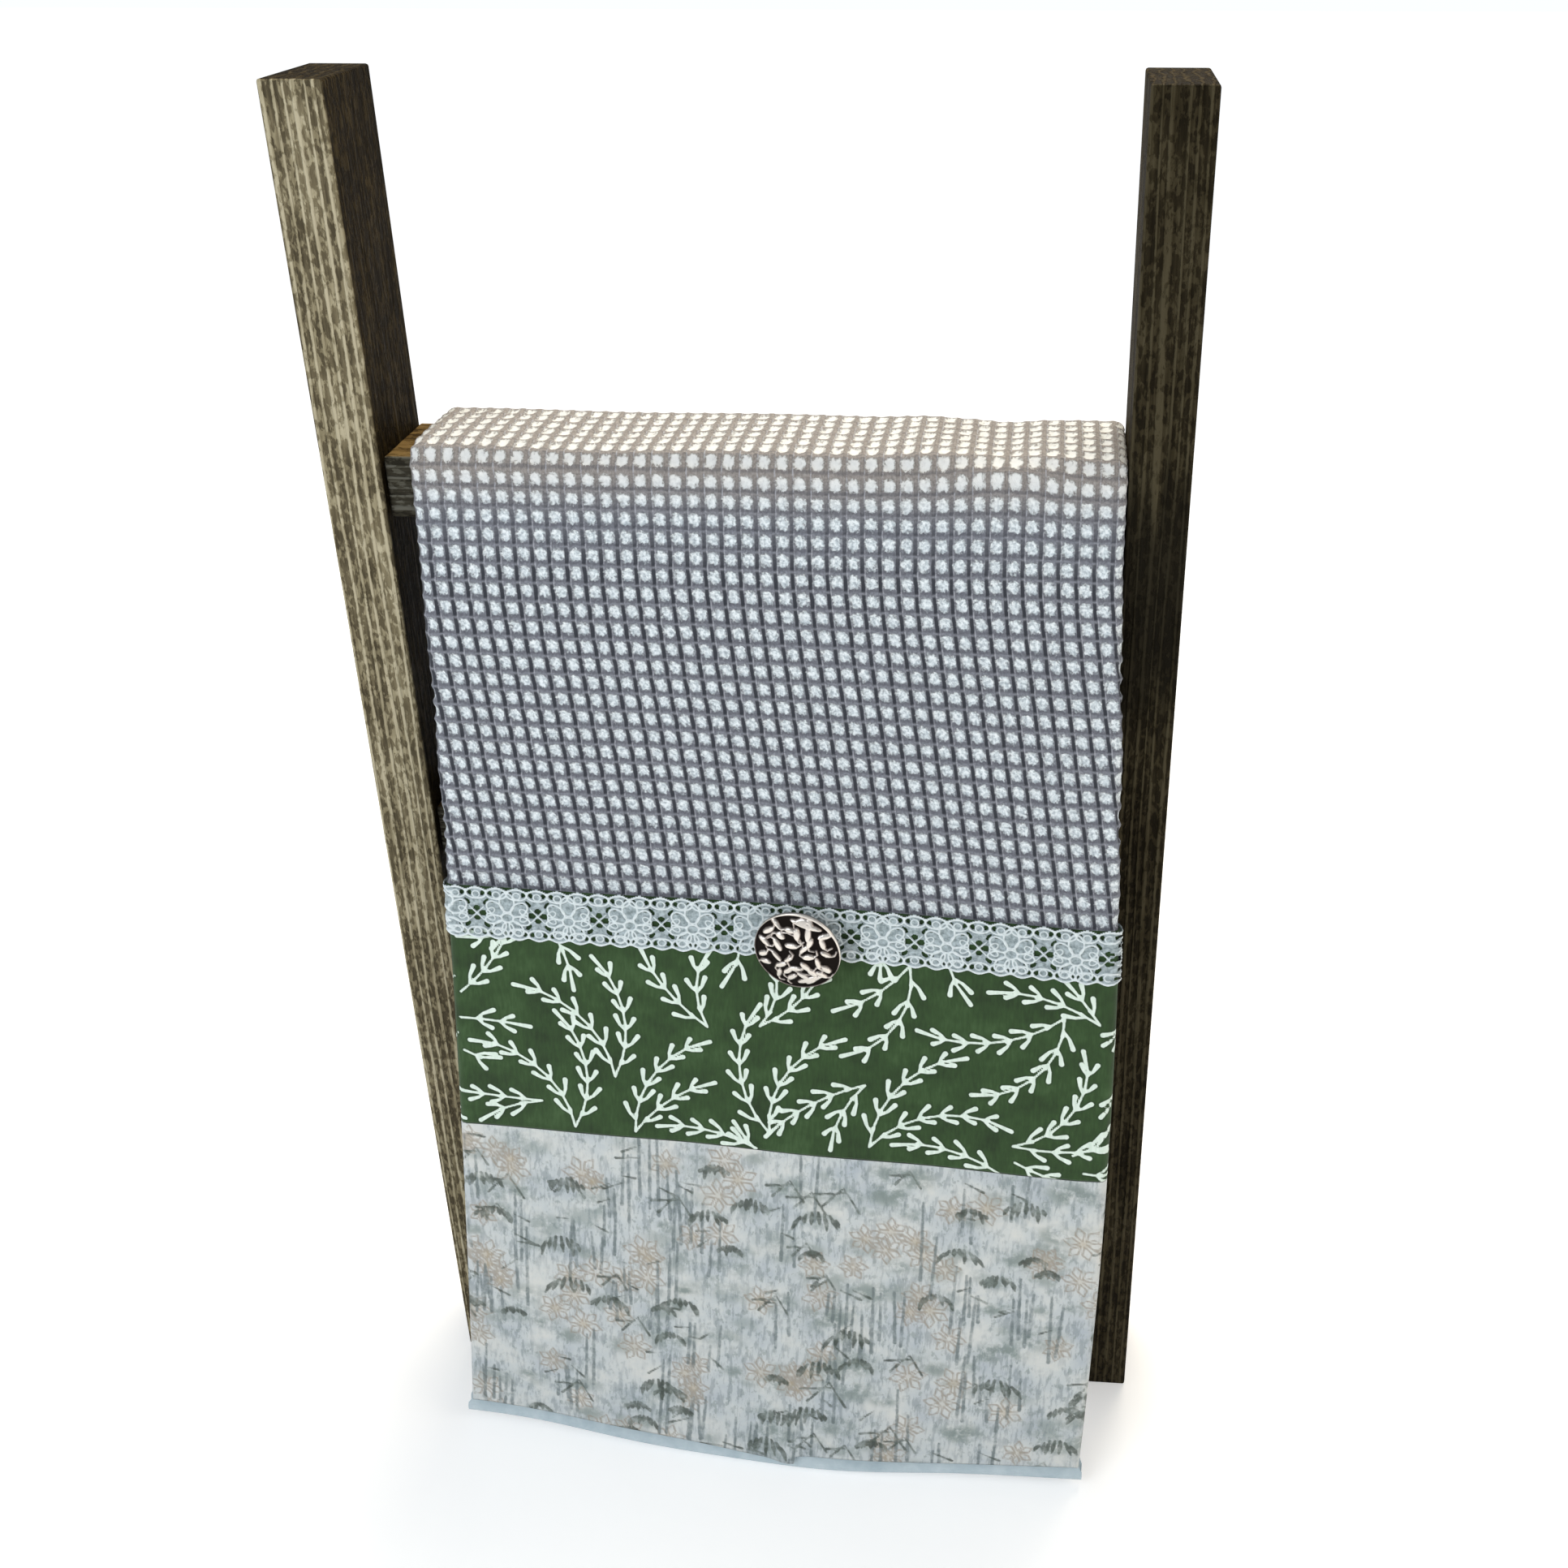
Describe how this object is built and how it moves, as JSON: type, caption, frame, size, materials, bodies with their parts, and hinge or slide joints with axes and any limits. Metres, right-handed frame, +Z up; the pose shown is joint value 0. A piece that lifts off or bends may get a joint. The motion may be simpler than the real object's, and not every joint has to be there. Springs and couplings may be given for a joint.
{
  "type": "towel on a ladder rack",
  "caption": "Small stained-wood ladder rack with flat rungs, holding a folded waffle towel trimmed with lace, printed cotton strips and a shank button.",
  "frame": {"origin": "middle of the overall box at floor level, where the rails' feet stand", "axes": "+X along the rungs to the viewer's right, -Y to the towel's decorated front, +Z up along the rails"},
  "size_m": [0.27, 0.0976, 0.496],
  "materials": {
    "stained_wood": "dark walnut stain on rough-sawn softwood, matt, lighter where the grain stands up",
    "zinc_steel": "zinc-plated countersunk screws",
    "waffle_cotton": "thick white waffle weave with grey shaded hollows",
    "lining_cotton": "plain pale blue cotton",
    "green_print": "forest green quilting cotton with white leafy sprigs",
    "bamboo_print": "pale grey-blue quilting cotton with a watercolour print of stalks and blossoms",
    "lace_cotton": "white scalloped floral lace",
    "antique_pewter": "antiqued pewter, dark in its recesses and bright on its leaves",
    "sewing_thread": "white cotton thread"
  },
  "bodies": {
    "rack": {"rail_left": "stained_wood", "rail_right": "stained_wood", "rung_bottom": "stained_wood", "rung_middle": "stained_wood", "rung_top": "stained_wood", "screw_left_bottom_front": "zinc_steel", "screw_left_bottom_back": "zinc_steel", "screw_left_middle_front": "zinc_steel", "screw_left_middle_back": "zinc_steel", "screw_left_top_front": "zinc_steel", "screw_left_top_back": "zinc_steel", "screw_right_bottom_front": "zinc_steel", "screw_right_bottom_back": "zinc_steel", "screw_right_middle_front": "zinc_steel", "screw_right_middle_back": "zinc_steel", "screw_right_top_front": "zinc_steel", "screw_right_top_back": "zinc_steel"},
    "towel": {"waffle_towel": "waffle_cotton", "hem_lining": "lining_cotton", "green_band": "green_print", "bamboo_border": "bamboo_print", "lace_trim": "lace_cotton"},
    "button": {"button": "antique_pewter", "button_thread": "sewing_thread"}
  },
  "joints": [
    {"name": "towel_lift", "type": "slide", "parent": "rack", "child": "towel", "axis": [0, 0, 1], "range_m": [0, 0.39]},
    {"name": "button_turn", "type": "hinge", "parent": "towel", "child": "button", "pos_m": [0.01435, -0.02311, 0.22667], "axis": [0, -0.9929, 0.1194], "range_deg": [-30, 30]}
  ]
}
